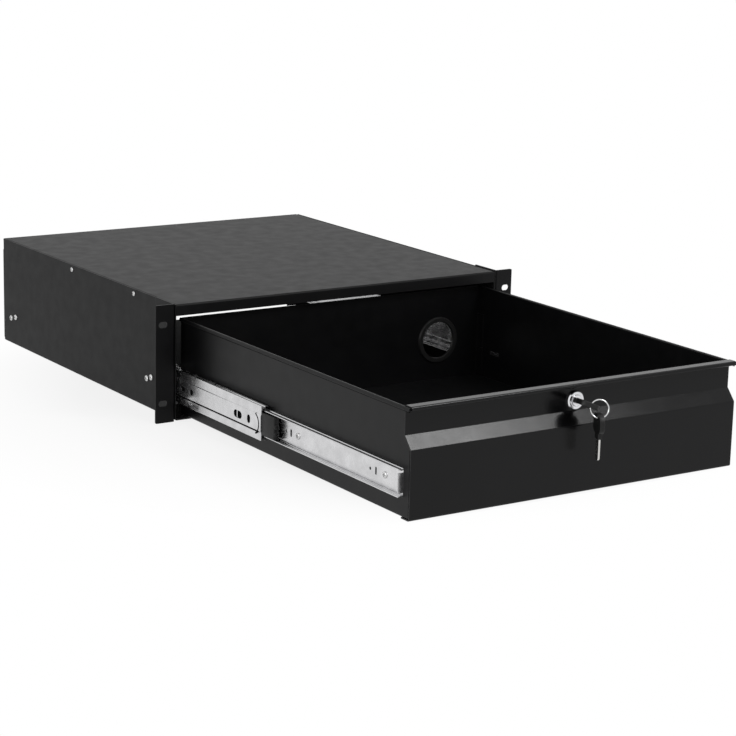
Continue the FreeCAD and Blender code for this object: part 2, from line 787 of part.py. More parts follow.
def middle_profile():
    outer_ball = (float(outer_ball_at), float(size["outer_ball_height"]))
    inner_ball = (float(inner_ball_at), float(inner_ball_height))
    radius = float(raceway)
    tangent = math.degrees(math.atan2(inner_ball[1] - outer_ball[1], inner_ball[0] - outer_ball[0]))
    band = float(size["middle_band"])
    step = float(size["middle_step"])
    return [
        arc_edge(inner_ball, radius, float(size["middle_lip"]), 180 + tangent),
        arc_edge(outer_ball, radius, tangent, float(size["fold_turn"]) - 180),
        spot(middle_web_at, band + step),
        spot(band_at, band),
    ]


def inner_profile():
    ball = (float(inner_ball_at), float(inner_ball_height))
    radius = float(raceway)
    turn = float(size["inner_turn"])
    flange = ball[1] - radius * math.sin(math.radians(turn))
    lip = float(inner_ball_at - size["inner_lip"])
    return [
        spot(lip, flange),
        arc_edge(ball, radius, 180 + turn, 360 - turn),
        spot(inner_web_at, flange),
    ]


def slot_through(across_from, across_to, along, length, height, drop):
    """A slot with round ends through a web, its middle at along and drop below the centre."""
    long_side = max(length, height)
    radius = min(length, height) / 2
    depth = across_to - across_from
    reach = (long_side - 2 * radius) / 2
    turn_up = height > length
    pieces = []
    for end in (-reach, reach):
        shift = (0, end) if turn_up else (end, 0)
        centre = Vector(across_from, along + shift[0], -drop + shift[1])
        pieces.append(Part.makeCylinder(radius, depth, centre, Vector(1, 0, 0)))
    if reach > 0:
        spans = (2 * radius, 2 * reach) if turn_up else (2 * reach, 2 * radius)
        corner = Vector(across_from, along - spans[0] / 2, -drop - spans[1] / 2)
        pieces.append(Part.makeBox(depth, spans[0], spans[1], corner))
    whole = pieces[0]
    for piece in pieces[1:]:
        whole = whole.fuse(piece)
    return whole


# punched holes: distance from the member's front end, length, height, drop below the centre
MIDDLE_HOLES = (
    (47.5, 16.5, 8.0, 0.4),
    (24.7, 6.2, 9.0, 0.2),
    (168.5, 9.0, 4.8, -0.2),
    (149.0, 6.9, 6.9, -0.3),
    (144.5, 20.0, 3.2, 14.0),
)
INNER_HOLES = (
    (47.0, 2.5, 8.0, 0.0),
    (57.0, 3.0, 3.0, 0.0),
    (205.0, 3.0, 8.0, 0.0),
    (215.0, 3.0, 3.0, 0.0),
)
# screws through the inner member into the tray: distance from its front end
INNER_SCREWS = (31.0, 191.0)


def punched(solid, side, start, holes, limit):
    """Cut a row of holes in a member's web."""
    for along, length, height, drop in holes:
        tool = slot_through(-1.0, float(slide_thickness) + 1, along, length, height, drop)
        if along + length < float(limit):
            solid = solid.cut(to_slide(tool, side, start))
    return solid


def ball_places(start, length, count):
    """Evenly spaced places along a cage."""
    margin = float(size["ball_margin"])
    pitch = (float(length) - 2 * margin) / (count - 1)
    return [float(start) + margin + number * pitch for number in range(count)]


BALLS_PER_ROW = 5
BALL_SIDES = 6
BALL_BANDS = 3


def make_ball(centre):
    """A bearing ball, kept to a few flat facets because there are so many."""
    radius = float(size["ball_radius"])
    rings = []
    for band in range(1, BALL_BANDS):
        tilt = math.pi * band / BALL_BANDS
        rings.append([
            centre + Vector(radius * math.sin(tilt) * math.cos(2 * math.pi * turn / BALL_SIDES),
                            radius * math.sin(tilt) * math.sin(2 * math.pi * turn / BALL_SIDES),
                            radius * math.cos(tilt))
            for turn in range(BALL_SIDES)
        ])
    poles = (centre + Vector(0, 0, radius), centre - Vector(0, 0, radius))
    facets = []
    for turn in range(BALL_SIDES):
        after = (turn + 1) % BALL_SIDES
        facets.append((poles[0], rings[0][turn], rings[0][after]))
        facets.append((poles[1], rings[-1][after], rings[-1][turn]))
        for upper, lower in zip(rings, rings[1:]):
            facets.append((upper[turn], lower[turn], lower[after], upper[after]))
    faces = [Part.Face(Part.makePolygon(list(corners) + [corners[0]])) for corners in facets]
    return Part.makeSolid(Part.makeShell(faces))


def make_cage(name, side, web_at, ball_at, ball_height, arm, start, length):
    """A ball cage bent from thin sheet, and the node of its balls."""
    sheet = float(size["cage_sheet"])
    web_from = float(web_at)
    web_to = web_from + sheet
    reach = float(ball_at) + float(arm)
    height = float(ball_height)
    solid = block(web_from, web_to, 0, length, -height - sheet / 2, height + sheet / 2)
    for way in (-1, 1):
        solid = solid.fuse(block(web_from, reach, 0, length,
                                 way * (height - sheet / 2), way * (height + sheet / 2)))
    balls = []
    for along in ball_places(0, length, BALLS_PER_ROW):
        for way in (-1, 1):
            centre = Vector(float(ball_at), along, way * height)
            half = float(size["ball_radius"] + size["cage_window"])
            window = Part.makeBox(2 * half, 2 * half, 4 * sheet,
                                  centre - Vector(half, half, 2 * sheet))
            solid = solid.cut(window)
            balls.append(to_slide(make_ball(centre), side, start))
    new_solid(name + "_cage", to_slide(solid.removeSplitter(), side, start))
    group(name + "_balls", balls)


def make_slide(name, side):
    sheet = size["slide_sheet"]
    outer = rolled_member(side, outer_profile(), sheet, size["slide_setback"], size["outer_length"])
    new_solid(name + "_outer_member", outer)

    middle = rolled_member(side, middle_profile(), sheet, middle_front, size["middle_length"])
    middle = punched(middle, side, middle_front, MIDDLE_HOLES, size["middle_length"])
    new_solid(name + "_middle_member", middle)

    inner = rolled_member(side, inner_profile(), sheet, inner_front, size["inner_length"])
    web_from = float(slide_thickness - sheet)
    tab_half = float(size["end_tab_height"]) / 2
    tab = block(web_from + float(sheet) / 2, web_from - float(size["end_tab_reach"]), 0, sheet,
                -tab_half, tab_half)
    inner = inner.fuse(to_slide(tab, side, inner_front)).removeSplitter()
    inner = punched(inner, side, inner_front, INNER_HOLES, size["inner_length"])
    new_solid(name + "_inner_member", inner)

    rear_half = float(size["rear_bumper_height"]) / 2
    rear = block(sheet, sheet + size["rear_bumper_depth"], bumper_face, outer_rear,
                 -rear_half, rear_half)
    new_solid(name + "_rear_bumper", to_slide(rear, side))

    bumper_half = float(size["front_bumper_height"]) / 2
    outer_edge = slide_thickness - size["front_bumper_cover"]
    stop = block(outer_edge - size["front_bumper_depth"], outer_edge,
                 middle_front - size["front_bumper_length"], middle_front,
                 -bumper_half, bumper_half)
    front_edges = [edge for edge in stop.Edges
                   if edge.BoundBox.YMax < float(middle_front - size["front_bumper_length"] / 2)]
    stop = stop.makeFillet(float(size["front_bumper_edge"]), front_edges)
    tongue_half = float(size["bumper_tongue_height"]) / 2
    tongue = block(band_at + half_sheet, outer_edge, middle_front - sheet,
                   middle_front + size["bumper_tongue_length"], -tongue_half, tongue_half)
    new_solid(name + "_front_bumper", to_slide(stop.fuse(tongue).removeSplitter(), side))

    make_cage(name + "_outer", side, outer_cage_at, outer_ball_at, size["outer_ball_height"],
              size["cage_arm"], size["slide_setback"] + size["outer_cage_setback"],
              size["outer_cage_length"])
    make_cage(name + "_inner", side, inner_cage_at, inner_ball_at, inner_ball_height,
              size["inner_cage_arm"], middle_front + size["inner_cage_setback"],
              size["inner_cage_length"])


# ---------------------------------------------------------------------------
# Drawer
# ---------------------------------------------------------------------------

def make_drawer_front():
    """Front folded from one sheet: lip, finger recess, slope, lower face and bottom flange."""
    body = new_body("drawer_front")
    sheet = size["front_sheet"]
    lip_bottom = size["lip_top"] - size["lip_height"]
    return_end = front_face + size["lip_return"]
    flange_end = front_face + size["front_return"]
    section = sketch_on(body, "front_section", "YZ_Plane", 0)
    draw_polygon(section, [
        (return_end, lip_bottom), (front_face, lip_bottom),
        (front_face, size["lip_top"]), (recess_back_face, size["lip_top"]),
        (recess_back_face, size["recess_floor"] - slope_shift),
        (front_back_face, slope_foot - slope_shift),
        (front_back_face, tray_underside), (flange_end, tray_underside),
        (flange_end, size["front_bottom"]), (front_face, size["front_bottom"]),
        (front_face, slope_foot), (recess_face, size["recess_floor"]),
        (recess_face, size["lip_top"] - sheet), (front_back_face, size["lip_top"] - sheet),
        (front_back_face, lip_bottom + sheet), (return_end, lip_bottom + sheet),
    ])
    pad_both_ways(body, section, drawer_half * 2)
    round_edges(body, "front_outer_bends", size["front_bend"] + sheet,
                {"y": front_face, "z": size["lip_top"]},
                {"y": recess_back_face, "z": size["lip_top"]},
                {"y": front_face, "z": slope_foot},
                {"y": recess_back_face, "z": size["recess_floor"] - slope_shift},
                {"y": front_face, "z": size["front_bottom"]})
    round_edges(body, "lip_bend", sheet, {"y": front_face, "z": lip_bottom})
    round_edges(body, "front_inner_bends", size["front_bend"],
                {"y": recess_face, "z": size["lip_top"] - sheet},
                {"y": front_back_face, "z": size["lip_top"] - sheet},
                {"y": recess_face, "z": size["recess_floor"]},
                {"y": front_back_face, "z": slope_foot - slope_shift},
                {"y": front_back_face, "z": tray_underside})
    lock_hole = sketch_on(body, "lock_hole", "XZ_Plane", recess_back_face + 1)
    draw_circle(lock_hole, 0, size["lock_height"], size["lock_diameter"])
    cut(body, lock_hole, sheet + 2, forward=False)


def make_tray():
    """Floor and side walls folded from one sheet; the walls end in an outward hem."""
    body = new_body("drawer_tray")
    sheet = size["tray_sheet"]
    fold_inner = drawer_half + size["hem_gap"]
    fold_outer = fold_inner + sheet
    hem_bottom = size["tray_top"] - size["hem_height"]
    fold_roof = size["tray_top"] - sheet
    tray_front = front_back_face + size["front_bend"]
    section = sketch_on(body, "tray_section", "XZ_Plane", tray_front)
    right = [
        (drawer_half, tray_underside), (drawer_half, fold_roof), (fold_inner, fold_roof),
        (fold_inner, hem_bottom), (fold_outer, hem_bottom), (fold_outer, size["tray_top"]),
        (tray_inside, size["tray_top"]), (tray_inside, tray_floor),
    ]
    left = [(-x, z) for x, z in reversed(right)]
    draw_polygon(section, right + left)
    pad(body, section, size["back_face"] - tray_front)
    round_edges(body, "tray_outer_bends", size["tray_bend"] + sheet,
                {"x": drawer_half, "z": tray_underside}, {"x": -drawer_half, "z": tray_underside})
    round_edges(body, "tray_inner_bends", size["tray_bend"],
                {"x": tray_inside, "z": tray_floor}, {"x": -tray_inside, "z": tray_floor})
    round_edges(body, "hem_folds", sheet + size["hem_gap"] / 2 - 0.1,
                {"x": fold_outer, "z": size["tray_top"]}, {"x": -fold_outer, "z": size["tray_top"]},
                {"x": tray_inside, "z": size["tray_top"]},
                {"x": -tray_inside, "z": size["tray_top"]})
    ends = sketch_on(body, "wall_ends", "YZ_Plane", 0)
    ahead = front_face - 5
    draw_polygon(ends, [
        (recess_back_face, size["tray_top"] + 5),
        (recess_back_face, size["recess_floor"] - slope_shift),
        (front_back_face, slope_foot - slope_shift), (ahead, slope_foot - slope_shift),
        (ahead, size["tray_top"] + 5),
    ])
    cut(body, ends)
    windows = sketch_on(body, "catch_windows", "YZ_Plane", 0)
    slot_z = slide_z - size["tray_slot_drop"]
    draw_rectangle(windows, size["tray_slot_front"],
                   size["tray_slot_front"] + size["tray_slot_length"],
                   slot_z - size["tray_slot_height"] / 2, slot_z + size["tray_slot_height"] / 2)
    cut(body, windows)


def make_drawer_back():
    """Rear wall with the cable hole and two tabs bent forward along each side."""
    body = new_body("drawer_back")
    sheet = size["tray_sheet"]
    wall = sketch_on(body, "back_wall", "XZ_Plane", back_inner_face)
    draw_rectangle(wall, -tray_inside, tray_inside, tray_floor, size["tray_top"])
    pad(body, wall, sheet)
    round_edges(body, "back_lower_corners", size["tray_bend"],
                {"x": tray_inside, "z": tray_floor}, {"x": -tray_inside, "z": tray_floor})
    tab_front = back_inner_face - size["back_tab_depth"]
    half_cut = size["back_tab_cut"] / 2
    for name, side in SIDES:
        tabs = sketch_on(body, name + "_tabs", "YZ_Plane", side * tray_inside)
        draw_rectangle(tabs, tab_front, size["back_face"], size["back_tab_bottom"],
                       size["back_tab_split"] - half_cut)
        draw_rectangle(tabs, tab_front, size["back_face"], size["back_tab_split"] + half_cut,
                       size["back_tab_top"])
        pad(body, tabs, sheet, forward=side < 0)
    cable_hole = sketch_on(body, "cable_hole", "XZ_Plane", 0)
    draw_circle(cable_hole, size["grommet_x"], size["grommet_z"], size["grommet_hole"])
    cut(body, cable_hole)


def make_grommet():
    body = new_body("cable_grommet")
    bore = size["grommet_bore"] / 2
    neck = size["grommet_hole"] / 2
    flange = size["grommet_flange"] / 2
    front = back_inner_face - size["grommet_lip"]
    turned(body, "grommet_section", [
        (bore, front), (flange - size["grommet_bevel"], front), (flange, back_inner_face),
        (neck, back_inner_face), (neck, size["back_face"]), (bore, size["back_face"]),
    ], size["grommet_x"], size["grommet_z"])


def make_drawer_fasteners():
    """Heads of the screws that hold the inner members to the tray's walls."""
    screws = []
    for name, side in SIDES:
        for along in INNER_SCREWS:
            place = Vector(side * float(drawer_half + size["slide_sheet"]),
                           float(inner_front) + along, float(slide_z))
            screws.append(screw_head(place, Vector(side, 0, 0), size["fixing_head"],
                                     size["fixing_low_rise"]))
    group("drawer_slide_screws", screws)


# ---------------------------------------------------------------------------
# Lock
# ---------------------------------------------------------------------------

def make_lock():
    lock_z = size["lock_height"]
    bore = size["plug_diameter"] / 2 + size["plug_clearance"]
    barrel = new_body("lock_body")
    bezel_face = recess_face - size["bezel_rise"]
    bezel = size["bezel_diameter"] / 2
    bevel = size["bezel_bevel"]
    turned(barrel, "barrel_section", [
        (bore, lock_rear), (bore, bezel_face), (bezel - bevel, bezel_face),
        (bezel, bezel_face + bevel), (bezel, recess_face),
        (size["lock_diameter"] / 2, recess_face), (size["lock_diameter"] / 2, lock_rear),
    ], 0, lock_z)

    nut = new_body("lock_nut")
    flats = sketch_on(nut, "nut_flats", "XZ_Plane", recess_back_face)
    corner = size["nut_flats"] / 2 / cosine(as_size(30))
    draw_polygon(flats, [
        (corner * cosine(as_size(turn)), lock_z + corner * sine(as_size(turn)))
        for turn in range(0, 360, 60)
    ])
    draw_circle(flats, 0, lock_z, size["lock_diameter"])
    pad(nut, flats, size["nut_thickness"])

    make_plug()
    make_cam()

    # head of the screw in the plug's tail
    place = Vector(0, float(cam_rear), float(lock_z))
    new_solid("cam_screw", screw_head(place, Vector(0, 1, 0), size["cam_screw_head"],
                                      size["cam_screw_rise"]))


def on_lock_axis(body, turn):
    """Bodies on the lock's axis are drawn about the origin and placed on it, turned in degrees."""
    body.Placement = FreeCAD.Placement(
        Vector(0, 0, float(size["lock_height"])),
        FreeCAD.Rotation(Vector(0, 1, 0), float(turn)),
    )
    bind(body, "Placement.Base.z", size["lock_height"])
    document.recompute()


def make_plug():
    """Plug with a keyway, and a square tail that carries the cam."""
    body = new_body("lock_plug")
    disc = sketch_on(body, "plug_round", "XZ_Plane", plug_face)
    draw_circle(disc, 0, 0, size["plug_diameter"])
    pad(body, disc, lock_rear - plug_face)
    half = size["cam_square"] / 2
    tail = sketch_on(body, "plug_tail", "XZ_Plane", lock_rear)
    draw_rectangle(tail, -half, half, -half, half)
    pad(body, tail, size["cam_sheet"])
    keyway = sketch_on(body, "keyway", "XZ_Plane", plug_face)
    half_slot = size["key_width"] / 2 + size["key_clearance"]
    half_height_of_slot = size["key_thickness"] / 2 + size["key_clearance"]
    draw_rectangle(keyway, -half_slot, half_slot, -half_height_of_slot, half_height_of_slot)
    cut(body, keyway, blade_tip - plug_face + size["key_clearance"] * 3)
    on_lock_axis(body, size["key_turn"])


def make_cam():
    """Latch plate; it points to the left with the lock open, and up when locked."""
    body = new_body("lock_cam")
    half = size["cam_width"] / 2
    tip_half = size["cam_tip_width"] / 2
    plate = sketch_on(body, "cam_plate", "XZ_Plane", lock_rear)
    draw_polygon(plate, [
        (-size["cam_reach"], -tip_half), (half, -half), (half, half),
        (-size["cam_reach"], tip_half),
    ])
    # the square hole follows the plug's tail, which is turned with the key
    corner = root(size["cam_square"] * size["cam_square"] / 2)
    draw_polygon(plate, [
        (corner * cosine(turn - size["key_turn"]), corner * sine(turn - size["key_turn"]))
        for turn in (45, 135, 225, 315)
    ])
    pad(body, plate, size["cam_sheet"])
    round_edges(body, "cam_tip", size["cam_tip_corner"],
                {"x": -size["cam_reach"], "z": tip_half}, {"x": -size["cam_reach"], "z": -tip_half})
    round_edges(body, "cam_heel", size["cam_heel_corner"],
                {"x": half, "z": half}, {"x": half, "z": -half})
    on_lock_axis(body, 0)


# ---------------------------------------------------------------------------
# Keys and their ring
# ---------------------------------------------------------------------------

def key_blade_body(name):
    """Flat blade with a bevelled tip, drawn along Y on the lock's axis."""
    body = new_body(name)
    half = size["key_width"] / 2
    root_end = neck_face - size["key_blade_root"]
    bevel = size["key_bevel"]
    plan = sketch_on(body, name + "_plan", "XY_Plane", 0)
    draw_polygon(plan, [
        (-half, root_end), (half, root_end), (half, blade_tip - bevel),
        (half - bevel, blade_tip), (bevel - half, blade_tip), (-half, blade_tip - bevel),
    ])
    pad_both_ways(body, plan, size["key_thickness"])
    return body


def key_bow_body(name):
    """Plastic bow with a neck over the blade's root and the ring's hole."""
    body = new_body(name)
    half = size["bow_width"] / 2
    bow = sketch_on(body, name + "_plan", "XY_Plane", 0)
    draw_rectangle(bow, -half, half, bow_end, bow_face)
    pad_both_ways(body, bow, size["bow_thickness"])
    round_edges(body, name + "_corners", size["bow_corner"],
                {"x": half, "y": bow_face}, {"x": -half, "y": bow_face},
                {"x": half, "y": bow_end}, {"x": -half, "y": bow_end})
    neck_half = size["neck_width"] / 2
    neck = sketch_on(body, name + "_neck", "XY_Plane", 0)
    draw_rectangle(neck, -neck_half, neck_half, bow_face - size["neck_thickness"] / 2, neck_face)
    pad_both_ways(body, neck, size["neck_thickness"])
    slot = sketch_on(body, name + "_blade_slot", "XZ_Plane", neck_face)
    blade_half = size["key_width"] / 2
    thin_half = size["key_thickness"] / 2
    draw_rectangle(slot, -blade_half, blade_half, -thin_half, thin_half)
    cut(body, slot, size["key_blade_root"], forward=False)
    hole = sketch_on(body, name + "_ring_hole", "XY_Plane", 0)
    draw_circle(hole, 0, key_hole_at, size["key_hole"])
    cut(body, hole)
    return body


def lock_frame_vector(x, y, z):
    """A direction given in the turned key's frame, in the part's frame."""
    turn = FreeCAD.Rotation(Vector(0, 1, 0), float(size["key_turn"]))
    return turn.multVec(Vector(x, y, z))


# how the ring hangs: the direction from the bow's hole to the ring's middle
RING_HANG = (0.8128, -0.5810)


def ring_frame():
    """Hole centre, ring centre and the ring's normal."""
    hole = Vector(0, float(key_hole_at), float(size["lock_height"]))
    across, along = RING_HANG
    toward = lock_frame_vector(across, along, 0)
    toward.normalize()
    centre = hole + toward * float(size["ring_radius"])
    tangent = lock_frame_vector(0, 0, 1)
    return hole, centre, toward.cross(tangent)


def make_ring():
    """Split ring of flat wire, its two coils side by side."""
    hole, centre, normal = ring_frame()
    inside = float(size["ring_radius"] - size["ring_wire"] / 2)
    outside = float(size["ring_radius"] + size["ring_wire"] / 2)
    half = float(size["ring_width"]) / 2
    outline = ((inside, -half), (outside, -half), (outside, half), (inside, half))
    corners = [Vector(radius, 0, height) for radius, height in outline]
    wire = Part.makePolygon(corners + corners[:1])
    solid = Part.Face(wire).revolve(Vector(0, 0, 0), Vector(0, 0, 1), 360)
    solid.Placement = FreeCAD.Placement(centre, FreeCAD.Rotation(Vector(0, 0, 1), normal))
    new_solid("key_ring", solid)


def hang_spare(body):
    """Place a key drawn on the lock's axis so that it hangs from the ring's lowest point."""
    hole, centre, normal = ring_frame()
    down = Vector(0, 0, -1)
    fall = down - normal * down.dot(normal)
    fall.normalize()
    low = centre + fall * float(size["ring_radius"])
    tangent = normal.cross(fall)
    lean = FreeCAD.Rotation(Vector(0, 0, 1), float(size["spare_twist"]))
    facing = lean.multVec(Vector(-tangent.x, -tangent.y, 0))
    facing.normalize()
    turn = FreeCAD.Rotation(down.cross(facing), down, facing, "ZYX")
    hole_in_key = turn.multVec(Vector(0, float(key_hole_at), 0))
    body.Placement = FreeCAD.Placement(low - hole_in_key, turn)


def make_keys():
    for maker, name in ((key_blade_body, "key_blade"), (key_bow_body, "key_bow")):
        on_lock_axis(maker(name), size["key_turn"])
        hang_spare(maker("spare_" + name))


# ---------------------------------------------------------------------------
# Build, check and write
# ---------------------------------------------------------------------------

make_chassis()
make_cover()
for side_name, side_sign in SIDES:
    make_ear(side_name, side_sign)
    make_slide(side_name, side_sign)
make_strike()
make_housing_fasteners()
make_drawer_front()
make_tray()
make_drawer_back()
make_grommet()
make_drawer_fasteners()
make_lock()
make_ring()
make_keys()
document.recompute()

for thing in document.Objects:
    if "Invalid" in thing.State or "Error" in thing.State:
        raise RuntimeError("%s is in the state %s" % (thing.Label, thing.State))
for node in nodes:
    if node.Shape.isNull() or not node.Shape.isValid() or not node.Shape.Solids:
        raise RuntimeError("%s has no valid solid" % node.Label)

os.makedirs("parts", exist_ok=True)
for node in nodes:
    node.Shape.exportStep("parts/%s.step" % node.Label)
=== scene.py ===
"""Looks of the sliding rack drawer: materials, fine pieces, floor, light and camera."""
import json
import math

import bmesh
import bpy
from mathutils import Matrix, Vector


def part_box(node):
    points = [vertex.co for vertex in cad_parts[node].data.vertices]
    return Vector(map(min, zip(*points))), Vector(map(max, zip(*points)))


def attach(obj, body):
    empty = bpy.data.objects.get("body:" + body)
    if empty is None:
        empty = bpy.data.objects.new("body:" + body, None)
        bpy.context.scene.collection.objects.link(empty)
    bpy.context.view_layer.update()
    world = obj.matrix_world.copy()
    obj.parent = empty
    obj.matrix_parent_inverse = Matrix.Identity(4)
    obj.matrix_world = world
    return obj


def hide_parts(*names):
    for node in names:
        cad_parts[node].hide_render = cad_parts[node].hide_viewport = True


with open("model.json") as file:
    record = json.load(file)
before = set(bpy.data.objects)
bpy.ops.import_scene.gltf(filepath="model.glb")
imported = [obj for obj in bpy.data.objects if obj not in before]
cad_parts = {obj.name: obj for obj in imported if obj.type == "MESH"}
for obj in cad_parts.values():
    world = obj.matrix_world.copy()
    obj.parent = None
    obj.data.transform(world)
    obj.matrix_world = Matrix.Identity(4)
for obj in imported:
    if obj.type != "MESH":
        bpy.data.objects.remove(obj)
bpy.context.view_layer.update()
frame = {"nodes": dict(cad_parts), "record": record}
nodes = frame["nodes"]
MM = 0.001
SIDES = (("left", -1), ("right", 1))    # with the sign of x


# ---------------------------------------------------------------------------
# Shader helpers
# ---------------------------------------------------------------------------

# Sockets of a Mix node that mixes colours.
MIX_FACTOR, MIX_FIRST, MIX_SECOND, MIX_RESULT = 0, 6, 7, 2
BEVEL_SAMPLES = 6
# How far two normals agree on an edge (worn, or darkened by soiling and painted shade) and on a flat.
EDGE_MATCH, FLAT_MATCH = 0.88, 0.995


class Shader:
    """A node material under construction."""

    def __init__(self, name):
        self.material = bpy.data.materials.new(name)
        self.material.use_nodes = True
        self.tree = self.material.node_tree
        self.tree.nodes.clear()
        self.output = self.add("ShaderNodeOutputMaterial")
        self.surface = self.add("ShaderNodeBsdfPrincipled")
        self.link(self.surface.outputs["BSDF"], self.output.inputs["Surface"])
        self.place = self.add("ShaderNodeTexCoord").outputs["Object"]

    def add(self, kind, **settings):
        node = self.tree.nodes.new(kind)
        for key, value in settings.items():
            setattr(node, key, value)
        return node

    def link(self, source, target):
        self.tree.links.new(source, target)

    def feed(self, socket, value):
        """Link another node's output to a socket, or set its colour or number."""
        if isinstance(value, bpy.types.NodeSocket):
            self.link(value, socket)
        elif isinstance(value, tuple):
            socket.default_value = (*value, 1)
        else:
            socket.default_value = value

    def set(self, **values):
        """Feed the surface's sockets, named with _ for each space."""
        for name, value in values.items():
            self.feed(self.surface.inputs[name.replace("_", " ")], value)

    def noise(self, scale, detail=2.0, roughness=0.5, stretch=(1, 1, 1)):
        """Noise with about scale features to the metre."""
        mapping = self.add("ShaderNodeMapping")
        mapping.inputs["Scale"].default_value = stretch
        self.link(self.place, mapping.inputs["Vector"])
        node = self.add("ShaderNodeTexNoise")
        node.inputs["Scale"].default_value = scale
        node.inputs["Detail"].default_value = detail
        node.inputs["Roughness"].default_value = roughness
        self.link(mapping.outputs["Vector"], node.inputs["Vector"])
        return node.outputs["Fac"]

    def span(self, value, low, high, from_low=0.0, from_high=1.0):
        """Map a value from one range to another, held at its ends."""
        node = self.add("ShaderNodeMapRange")
        node.inputs["From Min"].default_value = from_low
        node.inputs["From Max"].default_value = from_high
        node.inputs["To Min"].default_value = low
        node.inputs["To Max"].default_value = high
        self.link(value, node.inputs["Value"])
        return node.outputs["Result"]

    def mix(self, factor, first, second):
        """Mix two colours."""
        node = self.add("ShaderNodeMix", data_type="RGBA")
        for socket, value in ((MIX_FACTOR, factor), (MIX_FIRST, first), (MIX_SECOND, second)):
            self.feed(node.inputs[socket], value)
        return node.outputs[MIX_RESULT]

    def math(self, operation, first, second):
        node = self.add("ShaderNodeMath", operation=operation)
        for socket, value in enumerate((first, second)):
            self.feed(node.inputs[socket], value)
        return node.outputs[0]

    def rounded_normal(self, radius):
        """The surface's normal with edges rounded by a radius in metres."""
        bevel = self.add("ShaderNodeBevel", samples=BEVEL_SAMPLES)
        bevel.inputs["Radius"].default_value = radius
        return bevel.outputs["Normal"]

    def bump(self, heights, round_radius):
        """Stack bumps of (height, strength, distance in metres) over edges rounded by a radius."""
        normal = self.rounded_normal(round_radius)
        for height, strength, distance in heights:
            node = self.add("ShaderNodeBump")
            node.inputs["Strength"].default_value = strength
            node.inputs["Distance"].default_value = distance
            self.link(height, node.inputs["Height"])
            self.link(normal, node.inputs["Normal"])
            normal = node.outputs["Normal"]
        self.link(normal, self.surface.inputs["Normal"])

    def edge_mask(self, radius):
        """High along convex and concave edges, low on flats."""
        rounded = self.rounded_normal(radius)
        flat = self.add("ShaderNodeNewGeometry").outputs["Normal"]
        dot = self.add("ShaderNodeVectorMath", operation="DOT_PRODUCT")
        self.link(rounded, dot.inputs[0])
        self.link(flat, dot.inputs[1])
        return self.span(dot.outputs["Value"], 1.0, 0.0, EDGE_MATCH, FLAT_MATCH)


# Noise scales to the metre, widths and depths in metres.
PAINT_WAVES, PAINT_DUST = 60, 9
PAINT_WEAR, PAINT_ROUNDING = 0.8 * MM, 0.35 * MM
PAINT_WAVE_DEPTH, PAINT_GRAIN_DEPTH = 0.4 * MM, 0.12 * MM
METAL_CLOUDS = 70
# The metal's darkened edge width stands for soiling and painted shade.
METAL_GRIME_AND_SHADE, METAL_STREAK_DEPTH = 0.7 * MM, 0.05 * MM
PLASTIC_GRAIN, PLASTIC_SCUFFS = 3500, 160
PLASTIC_WEAR, PLASTIC_ROUNDING, PLASTIC_GRAIN_DEPTH = 0.5 * MM, 0.5 * MM, 0.03 * MM
# Scale of the random mottle in the painted shade of gaps, to the metre.
GAP_SHADE_MOTTLE = 400
INSIDE_DULLER = 0.5     # added to the roughness within the housing


def powder_coat(name, colour, roughness, ior, grain, grain_strength, wear, inside=None):
    """Black coating with an orange-peel grain, faint dust and paler worn edges.

    inside is the middle and the half size of a box within which the coat is duller.
    """
    shader = Shader(name)
    fine = shader.noise(grain, 3.0, 0.55)
    broad = shader.noise(PAINT_WAVES)
    dust = shader.noise(PAINT_DUST, 4.0, 0.6)
    edges = shader.edge_mask(PAINT_WEAR)
    pale = tuple(part * 1.6 for part in colour)
    base = shader.mix(shader.span(dust, 0.0, 0.6, 0.35, 0.75), colour, pale)
    worn = tuple(part * 3.0 + 0.012 for part in colour)
    base = shader.mix(shader.math("MULTIPLY", edges, wear), base, worn)
    uneven = shader.span(broad, -0.03, 0.03, 0.3, 0.7)
    if inside:
        parts = shader.add("ShaderNodeSeparateXYZ")
        shader.link(shader.place, parts.inputs["Vector"])
        within = 1.0
        for axis, middle, half in zip(("X", "Y", "Z"), *inside):
            away = shader.math("ABSOLUTE", shader.math("SUBTRACT", parts.outputs[axis], middle), 0.0)
            within = shader.math("MULTIPLY", shader.math("LESS_THAN", away, half), within)
        uneven = shader.math("ADD", shader.math("MULTIPLY", within, INSIDE_DULLER), uneven)
    shader.set(Base_Color=base, Roughness=shader.math("ADD", uneven, roughness), IOR=ior)
    shader.bump([(broad, 0.05, PAINT_WAVE_DEPTH), (fine, grain_strength, PAINT_GRAIN_DEPTH)],
                PAINT_ROUNDING)
    return shader.material


def plated(name, colour, roughness, streak=(1, 1, 1), streak_scale=600, cloud=0.06, rounding=0.2):
    """Plated or polished metal with drawn streaks, cloudy patches, and edges and creases darkened partly by
    soiling and partly by painted shade.
    """
    shader = Shader(name)
    lines = shader.noise(streak_scale, 3.0, 0.6, streak)
    clouds = shader.noise(METAL_CLOUDS, 4.0, 0.6)
    darker = tuple(part * 0.78 for part in colour)
    base = shader.mix(shader.span(clouds, 0.0, 1.0, 0.35, 0.75), darker, colour)
    base = shader.mix(shader.span(lines, 0.0, 0.35, 0.4, 0.75), base, darker)
    # Edges and creases darkened to a quarter of the colour: partly soiling, partly painted shade.
    grime_and_shade = tuple(part * 0.25 for part in colour)
    base = shader.mix(shader.math("MULTIPLY", shader.edge_mask(METAL_GRIME_AND_SHADE), 0.6), base, grime_and_shade)
    shader.set(Base_Color=base, Metallic=1.0,
               Roughness=shader.math("ADD", shader.span(clouds, -cloud, cloud, 0.3, 0.7), roughness))
    shader.bump([(lines, 0.12, METAL_STREAK_DEPTH)], rounding * MM)
    return shader.material


